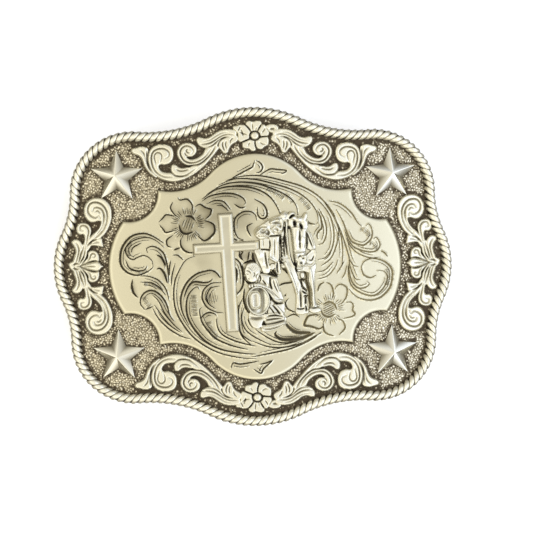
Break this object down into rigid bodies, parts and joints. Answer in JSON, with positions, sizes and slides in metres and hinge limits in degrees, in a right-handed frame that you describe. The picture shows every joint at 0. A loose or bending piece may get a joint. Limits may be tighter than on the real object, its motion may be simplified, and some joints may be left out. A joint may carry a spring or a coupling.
{
  "type": "western belt buckle",
  "caption": "Bent plate belt buckle with a rope edge, corner stars, leafy scroll relief and a raised panel with a cross, a saddled horse and a kneeling figure; belt loop and post behind.",
  "frame": {"origin": "middle of the footprint on the table, at the height of the lowest points of the loop and the post", "axes": "+X along the buckle's width to the wearer's left as seen from the front, +Y to its top edge, +Z out of its face"},
  "size_m": [0.1016, 0.0812, 0.0194],
  "materials": {
    "antique_silver": "warm silver plate, polished on the high spots and dark in the recesses",
    "engraved_panel": "warm silver plate, satin, with bright-cut engraving filled dark",
    "stippled_ground": "fine stipple with dark brown antiquing, plain satin behind",
    "plain_fittings": "plain satin nickel plate"
  },
  "bodies": {
    "root": {"base_plate": "stippled_ground", "rope_edge": "antique_silver", "centre_panel": "engraved_panel", "star_upper_left": "antique_silver", "star_upper_right": "antique_silver", "star_lower_left": "antique_silver", "star_lower_right": "antique_silver", "scroll_upper_left": "antique_silver", "scroll_upper_right": "antique_silver", "scroll_lower_left": "antique_silver", "scroll_lower_right": "antique_silver", "flower_top": "antique_silver", "flower_bottom": "antique_silver", "side_scroll_left": "antique_silver", "side_scroll_right": "antique_silver", "cross": "engraved_panel", "horse": "antique_silver", "kneeling_figure": "antique_silver", "belt_loop": "plain_fittings", "belt_post": "plain_fittings"}
  },
  "joints": []
}
